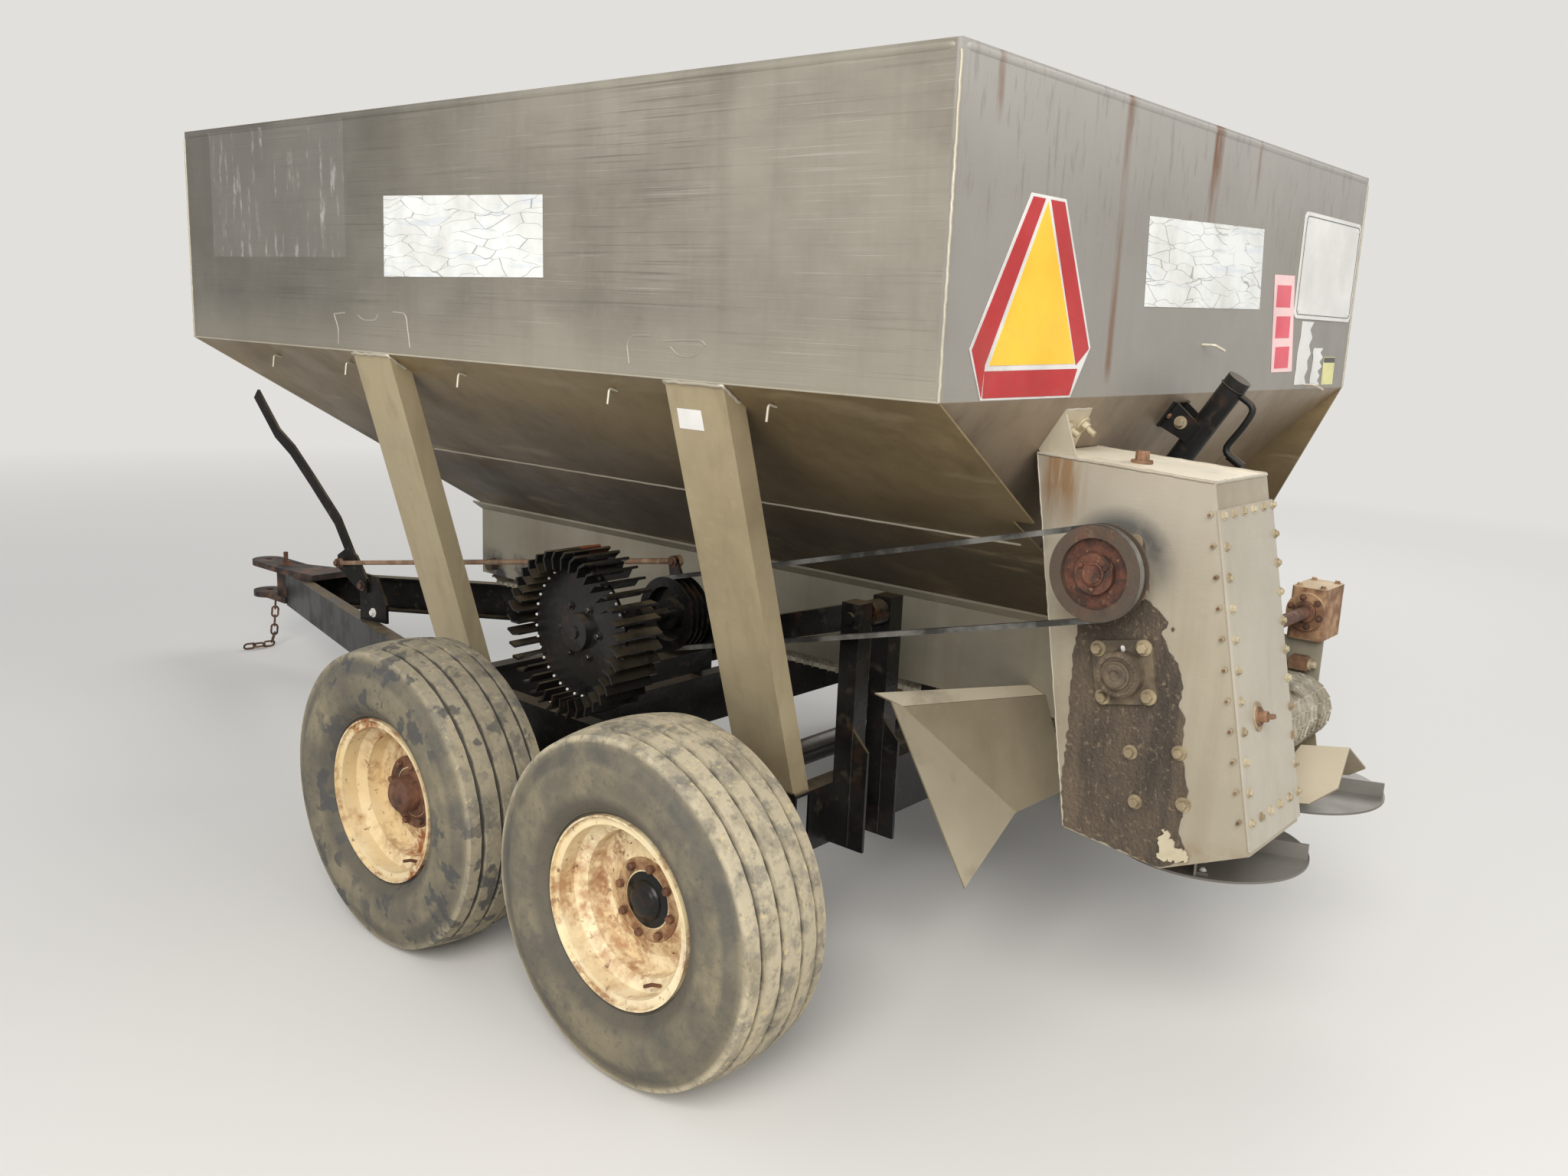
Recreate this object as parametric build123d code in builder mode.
# Pull-type fertilizer spreader with a stainless hopper, tandem walking axles and a
# ground-driven floor conveyor. Millimetres. X is the machine's right, Y its forward
# travel, Z up. The origin is on the ground under the middle of the whole machine.
import os
from math import atan2, degrees, hypot

from build123d import *

os.makedirs("parts", exist_ok=True)

# Overall places
OVERALL_LENGTH = 4882
REAR_OVERHANG = 465
HITCH_TIP_Y = OVERALL_LENGTH / 2
HOPPER_REAR_Y = REAR_OVERHANG - OVERALL_LENGTH / 2
SIDES = (("left", -1), ("right", 1))

# Hopper sheets
HOPPER_WIDTH = 2134
HOPPER_LENGTH = 2710
HOPPER_FRONT_Y = HOPPER_REAR_Y + HOPPER_LENGTH
HOPPER_TOP_Z = 2073
BEND_Z = 1481
SHEET = 4
RIM_FLANGE = 40
SLOPE_FOOT_Z = 930
FRONT_SLOPE_RUN = 370
REAR_SLOPE_RUN = 350

# Floor conveyor between its two sills
SILL_X = 240
SILL_SHEET = 5
SILL_BOTTOM_Z = 700
SILL_FLANGE = 40
SILL_REAR_Y = HOPPER_REAR_Y - 292
SILL_LOW_END = 142
SILL_LOW_Z = 900
SILL_FRONT_Y = HOPPER_FRONT_Y - 310
CHAIN_HALF_WIDTH = 215
CHAIN_RADIUS = 80
CHAIN_SHEET = 6
CHAIN_BAR = 8
CHAIN_PITCH = 50
CHAIN_END_BARS = 5
ROLLER_Z = 738
REAR_ROLLER_Y = HOPPER_REAR_Y - 260
FRONT_ROLLER_Y = HOPPER_FRONT_Y - 380
ROLLER_SHAFT_R = 20
ROLLER_SHAFT_PROUD = 30
SEAT_GAP = 0.3

# Frame channels
RAIL_X = 790
RAIL_TOP_Z = 550
CHANNEL_HEIGHT = 150
CHANNEL_FLANGE = 50
CHANNEL_WEB = 6
CHANNEL_LEG = 8
RAIL_REAR_Y = HOPPER_REAR_Y + 500
RAIL_FRONT_Y = HOPPER_REAR_Y + 1860
MID_MEMBER_Y = HOPPER_REAR_Y + 1330
LEG_WIDTH = 40
LEG_SHEET = 8

# Hopper posts
POST_WIDTH = 165
POST_DEPTH = 55
POST_SHEET = 5
REAR_POST_Y = HOPPER_REAR_Y + 590
FRONT_POST_Y = HOPPER_REAR_Y + 1752

# Tongue and hitch
APEX_Y = HITCH_TIP_Y - 287
APEX_HALF_WIDTH = 37
APEX_TOP_Z = 394
TONGUE_SPARE = 160
HITCH_PLATE = 25
HITCH_HALF_WIDTH = 70
HITCH_PLATE_REAR_Y = HITCH_TIP_Y - 641
HITCH_REAR_HALF_WIDTH = 108
HITCH_PLATE_RISE = 4
LOWER_EAR_Z = 275
LOWER_EAR_HALF_WIDTH = 45
HITCH_BORE_R = 16
NOSE_PLATE = 30
NOSE_PLATE_LENGTH = 120
HITCH_BOLT_R = 10
HITCH_BOLT_Y = HITCH_TIP_Y - 227
HITCH_BOLT_TOP_Z = 475

# Safety chain
LINK_LENGTH = 60
LINK_WIDTH = 36
LINK_WIRE = 9
LINK_PLAY = 1.5

# Lever of the ground drive and its rod. Places run from where the tongue's outer face
# passes the lever, heights from the tongue's top face there.
LEVER_X = -450
LEVER_SHEET = 10
LEVER_BAR = 44
LEVER_PLATE_REAR = -215
LEVER_PLATE_FRONT = -49
LEVER_PLATE_HEIGHT = 175
LEVER_PLATE_CORNER = (60, 95)
LEVER_HUB = ((-110, 110), (-55, 110), (77, 175), (77, 220), (5, 260), (-45, 235), (-110, 160))
LEVER_BENDS = ((-19, 220), (75, 346), (235, 470), (375, 573), (480, 627), (625, 764))
ROD_R = 8
ROD_EYE_R = 16
ROD_FRONT = (51, 195)

# Wheels on walking beams
TYRE_R = 390
TYRE_HALF_WIDTH = 139.5
RIM_R = 190.5
RIM_FLANGE_R = 208.5
RIM_HALF_WIDTH = 101.6
RIM_LIP = 13
RIM_SHEET = 4
WELL_R = 165
WHEEL_X = 1140
REAR_WHEEL_Y = HOPPER_REAR_Y + 592
FRONT_WHEEL_Y = HOPPER_REAR_Y + 1459
PIVOT_Y = (REAR_WHEEL_Y + FRONT_WHEEL_Y) / 2
SPINDLE_R = 22
RUNNING_GAP = 0.05
BEAM_INNER_X = 835
BEAM_OUTER_X = 935
BEAM_BOTTOM_Z = 300
BEAM_TOP_Z = 440
BEAM_WALL = 8
BEAM_END = 65
AXLE_R = 38
AXLE_Z = RAIL_TOP_Z - CHANNEL_HEIGHT - AXLE_R
AXLE_PROUD = 30
SADDLE_LENGTH = 120
COLLAR = 14
COLLAR_WIDTH = 18
COLLAR_PLAY = 6
PIVOT_BOSS_PROUD = (8, 6)
SPINDLE_BOSS = 12
HUB_INNER = 95
HUB_R = 46
HUB_FLANGE_R = 82
TYRE_BEAD = 14
TYRE_WALL = 12
TYRE_TREAD = 15
TYRE_WIDEST_R = 296
SHOULDER = (116, 377)

# Ground drive: cleated wheel, shaft, belt and pulleys
DRIVE_Y = HOPPER_REAR_Y + 1033
DRIVE_Z = 864
DRIVE_DISC_X = -975
DRIVE_DISC_R = 160
DRIVE_DISC_SHEET = 8
CLEAT_COUNT = 36
CLEAT_OUTBOARD = 60
CLEAT_INBOARD = 80
CLEAT_SHEET = 5
CLEAT_BEND_R = 182
CLEAT_TIP_R = 200
CLEAT_TIP_SHIFT = 14
DRIVE_HUB_R = 45
DRIVE_HUB_PROUD = 20
DRIVE_SHAFT_R = 16
DRIVE_SHAFT_PROUD = 25
DRIVE_SHAFT_TAIL = 12
PULLEY_R = 95
PULLEY_WEB = 14
PULLEY_RIM = 11
PULLEY_HUB_R = 40
PULLEY_OUTER_X = -690
FRONT_PULLEY_WIDTH = 62
REAR_PULLEY_WIDTH = 44
GROOVE_WIDTH = 17
GROOVE_PITCH = 20
GROOVE_DEPTH = 14
BELT_WIDTH = 16.4
BELT_DEPTH = 11
BELT_INSET = 11
BELT_PROUD = 1
CASE_SHAFT_Y = HOPPER_REAR_Y - 130
CASE_SHAFT_Z = 1155
CASE_SHAFT_R = 18
CASE_SHAFT_PROUD = 10
CASE_SHAFT_REACH = 130

# Swing arm of the drive wheel and its two uprights
ARM_PIVOT_Y = HOPPER_REAR_Y + 475
ARM_PIVOT_Z = 950
ARM_END_Y = HOPPER_REAR_Y + 1130
ARM_END_Z = 750
ARM_OUTER_X = -595
ARM_WIDTH = 50
ARM_HEIGHT = 60
UPRIGHT_SIZE = 50
UPRIGHT_GAP = 10
UPRIGHT_TOP_Z = 985
ARM_PIN_R = 14
GUSSET_DEPTH = 45
GUSSET_SHEET = 8
GUSSET_TOP_Z = 690
OUTER_BEARING_X = -800
BEARING_WIDTH = 40
BEARING_R = 38
CROSS_TUBE_Z = 700
CROSS_TUBE_TOP_Z = 755
ROD_REAR = (20, 215)

# Chain case at the left of the conveyor's rear end
CASE_OUTER_X = -590
CASE_INNER_X = -330
TRIM_OUTER_X = -702
CASE_SHEET = 5
CASE_TOP_FRONT = (HOPPER_REAR_Y + 70, 1365)
CASE_TOP_REAR = (HOPPER_REAR_Y - 310, 1345)
CASE_LOW_REAR = (HOPPER_REAR_Y - 457, 645)
CASE_LOW = (HOPPER_REAR_Y - 282, 565)
CASE_LOW_FRONT = (HOPPER_REAR_Y - 66, 589)
COVER_TOP_Z = 1295
COVER_BOTTOM_Z = 655
COVER_LIP = 5
FLANGE_BEARING_SIZE = 130
FLANGE_BEARING_SHEET = 12
LOWER_BEARING_Y = HOPPER_REAR_Y - 171
LOWER_BEARING_Z = 951
BRACKET_SHEET = 6
BRACKET_TOP = 30
BRACKET_FOOT = 128
BRACKET_LEG = 18
BRACKET_WIDTH = 145
BRACKET_TAPER = 40

# Spinners and their drop gearboxes
SPINNER_X = 270
SPINNER_Y = HOPPER_REAR_Y - 250
SPINNER_R = 215
SPINNER_Z = 516
SPINNER_SHEET = 5
VANE_HEIGHT = 34
VANE_FOOT = 26
VANE_COUNT = 4
VANE_START = 20
VANE_OFFSET = -12
SPINNER_HUB_R = 40
SPINNER_HUB_DROP = 14
GEARBOX_DEPTH = 84
GEARBOX_INBOARD = 58
GEARBOX_OUTBOARD = 82
GEARBOX_TOP_Z = 1028
GEARBOX_FLANGE_R = 46
GEARBOX_FLANGE = 8
CROSS_SHAFT_Z = 970
COLUMN_R = 24
COLUMN_BOTTOM_Z = 600
COLUMN_BORE = 100
SPINNER_SHAFT_R = 15

# Flow divider behind the conveyor's end: a ridge with two sloped plates, on a cross bar
DIVIDER_Z = 722
DIVIDER_REAR_Y = HOPPER_REAR_Y - 449
DIVIDER_FALL = 0.184
DIVIDER_SIDE_FALL = 0.715
DIVIDER_HALF_WIDTH = 138
DIVIDER_BAR_Y = HOPPER_REAR_Y - 314
DIVIDER_BAR_Z = 575
DIVIDER_BAR_HEIGHT = 40
DIVIDER_NOSE_CUT = 30
DIVIDER_TAIL = (96, 14)
DIVIDER_TAIL_CUT = 31
DIVIDER_HANGER = 70
DIVIDER_HANGER_LAP = 16

# Rear gate and its screw jack
GATE_GAP = 6
GATE_SHEET = 5
GATE_HALF_WIDTH = 228
GATE_HEIGHT = 300
GATE_FOOT_Z = ROLLER_Z + CHAIN_RADIUS + 14
GUIDE_GAP = 0.3
GUIDE_LIP = 20
GUIDE_LENGTH = 230
LUG_HEIGHT = 50
LUG_HALF_WIDTH = 20
LUG_BEYOND_ROD = 18
JACK_X = -40
JACK_STANDOFF = 80
JACK_R = 28
JACK_WALL = 5
JACK_ROD_R = 14
JACK_ROD_IN_TUBE = 60
JACK_TOP = -100
JACK_HEAD = 60
JACK_LENGTH = 240
JACK_BRACKET = ((20, 0), (90, 0), (80, JACK_STANDOFF), (30, JACK_STANDOFF))
JACK_BRACKET_SHEET = 6
JACK_BASE_LIP = 14
CRANK_R = 8
CRANK_TOP = -70
CRANK_GRIP = 50
CRANK_OUT = 143
CRANK_ARM = 14
CRANK_ARM_SHEET = 8
CRANK_ARM_END = 12
CRANK_GRIP_LENGTH = 68
DEFLECTOR_SHEET = 4


def save(builder, name):
    """Label the finished piece and write it to its own file."""
    builder.part.label = name
    export_step(builder.part, f"parts/{name}.step")


# Sloped floor lines in section. The sheet's lower line starts a little under the bend,
# so that the wall stands on the sheet's flat top edge.
side_fall = (BEND_Z - SLOPE_FOOT_Z) / (HOPPER_WIDTH / 2 - SILL_X)
side_depth = SHEET * hypot(1, side_fall)


def side_low_z(x):
    """Height of the side slope's underside at a distance from the centre plane."""
    return BEND_Z - side_depth + side_fall * (x - HOPPER_WIDTH / 2 + SHEET)


def side_high_z(x):
    """Height of the side slope's upper face."""
    return side_low_z(x) + side_depth


def side_upper_plane(sx):
    """Upper face of a side slope, facing into the hopper."""
    bend = (sx * (HOPPER_WIDTH / 2 - SHEET), 0, BEND_Z)
    return Plane(origin=bend, x_dir=(0, 1, 0), z_dir=(-sx * side_fall, 0, 1))


def end_slope_profile(wall_y, inward, run):
    """Section of an end slope: wall line, direction into the hopper, and its run."""
    fall = (BEND_Z - SLOPE_FOOT_Z) / run
    depth = SHEET * hypot(1, fall)
    lead = BEND_Z - depth + fall * SHEET
    foot = BEND_Z - fall * (run - SHEET)
    return [
        (wall_y, BEND_Z),
        (wall_y + inward * SHEET, BEND_Z),
        (wall_y + inward * run, foot),
        (wall_y + inward * run, foot - depth),
        (wall_y, lead),
    ]


hopper_mid_y = HOPPER_REAR_Y + HOPPER_LENGTH / 2

# Upright hopper walls with the rim turned inward
with BuildPart() as hopper_walls:
    with BuildSketch(Plane.XY.offset(BEND_Z)):
        with Locations((0, hopper_mid_y)):
            Rectangle(HOPPER_WIDTH, HOPPER_LENGTH)
            Rectangle(HOPPER_WIDTH - 2 * SHEET, HOPPER_LENGTH - 2 * SHEET, mode=Mode.SUBTRACT)
    extrude(amount=HOPPER_TOP_Z - BEND_Z)
    with BuildSketch(Plane.XY.offset(HOPPER_TOP_Z - SHEET)):
        with Locations((0, hopper_mid_y)):
            Rectangle(HOPPER_WIDTH, HOPPER_LENGTH)
            Rectangle(
                HOPPER_WIDTH - 2 * RIM_FLANGE, HOPPER_LENGTH - 2 * RIM_FLANGE, mode=Mode.SUBTRACT
            )
    extrude(amount=SHEET)
save(hopper_walls, "hopper_walls")

# Chain case outline, used by the case and by the slope that is trimmed round it
case_outline = [CASE_TOP_FRONT, CASE_TOP_REAR, CASE_LOW_REAR, CASE_LOW, CASE_LOW_FRONT]

# Side slopes run the whole length at the rear and stop on the front slope's underside
front_profile = end_slope_profile(HOPPER_FRONT_Y, -1, FRONT_SLOPE_RUN)
front_low, front_lead = front_profile[3], front_profile[4]
front_under = Plane(
    origin=(0, *front_low),
    x_dir=(1, 0, 0),
    z_dir=(0, front_low[1] - front_lead[1], front_lead[0] - front_low[0]),
)
for side, sx in SIDES:
    with BuildPart() as side_slope:
        with BuildSketch(Plane.XZ.offset(-HOPPER_REAR_Y)):
            with BuildLine():
                Polyline(
                    (sx * HOPPER_WIDTH / 2, BEND_Z),
                    (sx * (HOPPER_WIDTH / 2 - SHEET), BEND_Z),
                    (sx * (SILL_X - SILL_SHEET), side_high_z(SILL_X - SILL_SHEET)),
                    (sx * (SILL_X - SILL_SHEET), side_low_z(SILL_X - SILL_SHEET)),
                    (sx * HOPPER_WIDTH / 2, side_low_z(HOPPER_WIDTH / 2)),
                    close=True,
                )
            make_face()
        extrude(amount=-HOPPER_LENGTH)
        split(bisect_by=front_under, keep=Keep.TOP)
        if side == "left":
            with BuildSketch(Plane.YZ.offset(TRIM_OUTER_X)):
                with BuildLine():
                    Polyline(*case_outline, close=True)
                make_face()
                offset(amount=2, kind=Kind.INTERSECTION)
            extrude(amount=CASE_INNER_X - TRIM_OUTER_X + 2, mode=Mode.SUBTRACT)
    save(side_slope, f"side_slope_{side}")

# End slopes lie between the side slopes
for name, profile in (
    ("front_slope", front_profile),
    ("rear_slope", end_slope_profile(HOPPER_REAR_Y, 1, REAR_SLOPE_RUN)),
):
    with BuildPart() as end_slope:
        with BuildSketch(Plane.YZ):
            with BuildLine():
                Polyline(*profile, close=True)
            make_face()
        extrude(amount=HOPPER_WIDTH / 2, both=True)
        split(bisect_by=side_upper_plane(1), keep=Keep.TOP)
        split(bisect_by=side_upper_plane(-1), keep=Keep.TOP)
    save(end_slope, name)

# Conveyor sills with a flange folded out under the side slopes
for side, sx in SIDES:
    flange_x = SILL_X + SILL_FLANGE
    flange_drop = SILL_SHEET * hypot(1, side_fall)
    with BuildPart() as sill:
        with BuildSketch(Plane.XZ.offset(-SILL_REAR_Y)):
            with BuildLine():
                Polyline(
                    (sx * (SILL_X - SILL_SHEET), SILL_BOTTOM_Z),
                    (sx * SILL_X, SILL_BOTTOM_Z),
                    (sx * SILL_X, side_low_z(SILL_X) - flange_drop),
                    (sx * flange_x, side_low_z(flange_x) - flange_drop),
                    (sx * flange_x, side_low_z(flange_x)),
                    (sx * (SILL_X - SILL_SHEET), side_low_z(SILL_X - SILL_SHEET)),
                    close=True,
                )
            make_face()
        extrude(amount=SILL_REAR_Y - SILL_FRONT_Y)
        with BuildSketch(Plane.YZ):
            with Locations((REAR_ROLLER_Y, ROLLER_Z), (FRONT_ROLLER_Y, ROLLER_Z)):
                Circle(ROLLER_SHAFT_R + SEAT_GAP)
            with Locations((SILL_REAR_Y, SILL_LOW_Z)):
                Rectangle(SILL_LOW_END, BEND_Z - SILL_LOW_Z, align=(Align.MIN, Align.MIN))
        extrude(amount=sx * SILL_X * 2, mode=Mode.SUBTRACT)
        if side == "left":
            with BuildSketch(Plane.YZ.offset(CASE_OUTER_X)):
                with BuildLine():
                    Polyline(*case_outline, close=True)
                make_face()
            extrude(amount=CASE_INNER_X - CASE_OUTER_X, mode=Mode.SUBTRACT)
    save(sill, f"conveyor_sill_{side}")

# Floor chain: an endless flat-wire belt with a cross bar at each pitch
run_length = FRONT_ROLLER_Y - REAR_ROLLER_Y
straight_bars = int(run_length // CHAIN_PITCH)
with BuildPart() as conveyor_chain:
    with BuildSketch(Plane.YZ.offset(-CHAIN_HALF_WIDTH)):
        with Locations(((FRONT_ROLLER_Y + REAR_ROLLER_Y) / 2, ROLLER_Z)):
            SlotCenterToCenter(run_length, 2 * (CHAIN_RADIUS - CHAIN_BAR))
            SlotCenterToCenter(
                run_length, 2 * (CHAIN_RADIUS - CHAIN_BAR - CHAIN_SHEET), mode=Mode.SUBTRACT
            )
        bar_middle = CHAIN_RADIUS - CHAIN_BAR / 2 - 0.5
        for level in (-1, 1):
            with Locations(((FRONT_ROLLER_Y + REAR_ROLLER_Y) / 2, ROLLER_Z + level * bar_middle)):
                with GridLocations(CHAIN_PITCH, 0, straight_bars, 1):
                    Rectangle(CHAIN_SHEET, CHAIN_BAR + 1)
        bar_turn = 180 / CHAIN_END_BARS
        for roller_y, start in ((REAR_ROLLER_Y, 90), (FRONT_ROLLER_Y, -90)):
            with Locations((roller_y, ROLLER_Z)):
                with PolarLocations(
                    bar_middle, CHAIN_END_BARS, start + bar_turn / 2, 180 - bar_turn, endpoint=True
                ):
                    Rectangle(CHAIN_BAR + 1, CHAIN_SHEET)
    extrude(amount=2 * CHAIN_HALF_WIDTH)
save(conveyor_chain, "conveyor_chain")

# End rollers with their shafts through the sills
roller_r = CHAIN_RADIUS - CHAIN_BAR - CHAIN_SHEET - SEAT_GAP
for name, roller_y, shaft_left, shaft_right in (
    ("rear_roller", REAR_ROLLER_Y, CASE_INNER_X, SILL_X),
    ("front_roller", FRONT_ROLLER_Y, -SILL_X - ROLLER_SHAFT_PROUD, SILL_X + ROLLER_SHAFT_PROUD),
):
    with BuildPart() as roller:
        with BuildSketch(Plane.YZ.offset(-CHAIN_HALF_WIDTH)):
            with Locations((roller_y, ROLLER_Z)):
                Circle(roller_r)
        extrude(amount=2 * CHAIN_HALF_WIDTH)
        with BuildSketch(Plane.YZ.offset(shaft_left)):
            with Locations((roller_y, ROLLER_Z)):
                Circle(ROLLER_SHAFT_R)
        extrude(amount=shaft_right - shaft_left)
    save(roller, name)

# Welded frame: two outer rails with the web outside, and three crossmembers between
# them. The table gives each crossmember's web place and the side its flanges stand on.
crossmembers = ((RAIL_REAR_Y, 1), (MID_MEMBER_Y, 1), (RAIL_FRONT_Y, -1))
member_half = RAIL_X - CHANNEL_FLANGE
rail_mid_z = RAIL_TOP_Z - CHANNEL_HEIGHT / 2
channel_inside = CHANNEL_HEIGHT - 2 * CHANNEL_LEG
with BuildPart() as frame:
    with BuildSketch(Plane.XZ.offset(-RAIL_REAR_Y)):
        for sx in (-1, 1):
            with Locations((sx * (RAIL_X - CHANNEL_FLANGE / 2), rail_mid_z)):
                Rectangle(CHANNEL_FLANGE, CHANNEL_HEIGHT)
            with Locations((sx * (RAIL_X - CHANNEL_WEB - CHANNEL_FLANGE / 2), rail_mid_z)):
                Rectangle(CHANNEL_FLANGE, channel_inside, mode=Mode.SUBTRACT)
    extrude(amount=RAIL_REAR_Y - RAIL_FRONT_Y)
    for web_y, inward in crossmembers:
        with BuildSketch(Plane.YZ.offset(-member_half)):
            with Locations((web_y + inward * CHANNEL_FLANGE / 2, rail_mid_z)):
                Rectangle(CHANNEL_FLANGE, CHANNEL_HEIGHT)
            with Locations((web_y + inward * (CHANNEL_WEB + CHANNEL_FLANGE / 2), rail_mid_z)):
                Rectangle(CHANNEL_FLANGE, channel_inside, mode=Mode.SUBTRACT)
        extrude(amount=2 * member_half)
save(frame, "frame")

# Legs from the crossmembers up to the conveyor sills
with BuildPart() as sill_legs:
    for web_y, inward in crossmembers:
        with BuildSketch(Plane.XY.offset(RAIL_TOP_Z)):
            with Locations((0, web_y + inward * CHANNEL_FLANGE / 2)):
                with GridLocations(2 * SILL_X - LEG_SHEET, 0, 2, 1):
                    Rectangle(LEG_SHEET, LEG_WIDTH)
        extrude(amount=SILL_BOTTOM_Z - RAIL_TOP_Z)
save(sill_legs, "sill_legs")

# Four leaning posts, folded channels open towards the machine's middle
post_lean = (HOPPER_WIDTH / 2 - RAIL_X) / (side_low_z(HOPPER_WIDTH / 2) - RAIL_TOP_Z)


def post_section(inset, sx):
    """Post outline across the machine, its outer face moved in by inset."""
    foot_x = RAIL_X - inset
    inner_x = RAIL_X - POST_DEPTH
    low_z0 = side_low_z(0)

    def under_slope(start_x):
        z = (low_z0 + side_fall * (start_x - post_lean * RAIL_TOP_Z)) / (1 - side_fall * post_lean)
        return (sx * (start_x + post_lean * (z - RAIL_TOP_Z)), z)

    return [
        (sx * foot_x, RAIL_TOP_Z),
        under_slope(foot_x),
        under_slope(inner_x),
        (sx * inner_x, RAIL_TOP_Z),
    ]


for place, post_y in (("rear", REAR_POST_Y), ("front", FRONT_POST_Y)):
    for side, sx in SIDES:
        with BuildPart() as post:
            with BuildSketch(Plane.XZ.offset(-post_y)):
                with BuildLine():
                    Polyline(*post_section(0, sx), close=True)
                make_face()
            extrude(amount=POST_WIDTH / 2, both=True)
            with BuildSketch(Plane.XZ.offset(-post_y)):
                with BuildLine():
                    Polyline(*post_section(POST_SHEET, sx), close=True)
                make_face()
            extrude(amount=POST_WIDTH / 2 - POST_SHEET, both=True, mode=Mode.SUBTRACT)
        save(post, f"post_{place}_{side}")

# Tongue: two channels from the rails' front ends to the apex
tongue_run = Vector(RAIL_X - APEX_HALF_WIDTH, RAIL_FRONT_Y - APEX_Y, RAIL_TOP_Z - APEX_TOP_Z)
tongue_plane = Plane(
    origin=(APEX_HALF_WIDTH, APEX_Y, APEX_TOP_Z),
    x_dir=(-tongue_run.Y, tongue_run.X, 0),
    z_dir=tongue_run,
)
with BuildPart() as tongue:
    with BuildSketch(tongue_plane.offset(-TONGUE_SPARE)):
        with Locations((-CHANNEL_FLANGE / 2, -CHANNEL_HEIGHT / 2)):
            Rectangle(CHANNEL_FLANGE, CHANNEL_HEIGHT)
        with Locations((-CHANNEL_WEB - CHANNEL_FLANGE / 2, -CHANNEL_HEIGHT / 2)):
            Rectangle(CHANNEL_FLANGE, CHANNEL_HEIGHT - 2 * CHANNEL_LEG, mode=Mode.SUBTRACT)
    extrude(amount=tongue_run.length + 2 * TONGUE_SPARE)
    split(bisect_by=Plane.XZ.offset(-APEX_Y), keep=Keep.TOP)
    split(bisect_by=Plane.XZ.offset(-RAIL_FRONT_Y), keep=Keep.BOTTOM)
    split(bisect_by=Plane.YZ, keep=Keep.TOP)
    mirror(about=Plane.YZ)
save(tongue, "tongue")


def tongue_top_z(x, y):
    """Height of the tongue's top faces at a place in plan."""
    plan_run = hypot(tongue_run.X, tongue_run.Y)
    gained = (abs(x) - APEX_HALF_WIDTH) * tongue_run.X + (y - APEX_Y) * tongue_run.Y
    return APEX_TOP_Z + gained / plan_run**2 * tongue_run.Z


# Hitch: bent top plate with a round nose, a lower ear and the web between them
hitch_bore_y = HITCH_TIP_Y - HITCH_HALF_WIDTH
plate_rear_z = tongue_top_z(APEX_HALF_WIDTH, HITCH_PLATE_REAR_Y) + HITCH_PLATE_RISE
with BuildPart() as hitch:
    with BuildSketch(Plane.YZ.offset(-HITCH_REAR_HALF_WIDTH)):
        with BuildLine():
            Polyline(
                (HITCH_PLATE_REAR_Y, plate_rear_z),
                (APEX_Y, APEX_TOP_Z),
                (HITCH_TIP_Y, APEX_TOP_Z),
                (HITCH_TIP_Y, APEX_TOP_Z + HITCH_PLATE),
                (APEX_Y, APEX_TOP_Z + HITCH_PLATE),
                (HITCH_PLATE_REAR_Y, plate_rear_z + HITCH_PLATE),
                close=True,
            )
        make_face()
    extrude(amount=2 * HITCH_REAR_HALF_WIDTH)
    with BuildSketch(Plane.XY.offset(LOWER_EAR_Z - HITCH_PLATE)):
        with Locations((0, (APEX_Y + hitch_bore_y) / 2)):
            Rectangle(2 * LOWER_EAR_HALF_WIDTH, hitch_bore_y - APEX_Y)
    extrude(amount=HITCH_PLATE)
    with BuildSketch(Plane.XY.offset(LOWER_EAR_Z - HITCH_PLATE)):
        with Locations((0, hitch_bore_y)):
            Circle(HITCH_HALF_WIDTH)
    extrude(amount=HITCH_PLATE)
    with BuildSketch(Plane.YZ.offset(-NOSE_PLATE / 2)):
        Polygon(
            (APEX_Y, LOWER_EAR_Z),
            (APEX_Y + NOSE_PLATE_LENGTH, LOWER_EAR_Z),
            (APEX_Y + NOSE_PLATE_LENGTH, APEX_TOP_Z),
            (APEX_Y, APEX_TOP_Z),
            align=None,
        )
    extrude(amount=NOSE_PLATE)
    with BuildSketch(Plane.XY):
        with Locations((0, hitch_bore_y)):
            Circle(HITCH_HALF_WIDTH)
        Polygon(
            (-HITCH_REAR_HALF_WIDTH, HITCH_PLATE_REAR_Y),
            (HITCH_REAR_HALF_WIDTH, HITCH_PLATE_REAR_Y),
            (HITCH_HALF_WIDTH, APEX_Y),
            (HITCH_HALF_WIDTH, hitch_bore_y),
            (-HITCH_HALF_WIDTH, hitch_bore_y),
            (-HITCH_HALF_WIDTH, APEX_Y),
            align=None,
        )
    extrude(amount=RAIL_TOP_Z, mode=Mode.INTERSECT)
    with BuildSketch(Plane.XY):
        with Locations((0, hitch_bore_y)):
            Circle(HITCH_BORE_R)
    extrude(amount=RAIL_TOP_Z, mode=Mode.SUBTRACT)
    with BuildSketch(Plane.XY.offset(LOWER_EAR_Z)):
        with Locations((0, HITCH_BOLT_Y)):
            Circle(HITCH_BOLT_R)
    extrude(amount=RAIL_TOP_Z - LOWER_EAR_Z, mode=Mode.SUBTRACT)
save(hitch, "hitch")

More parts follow.
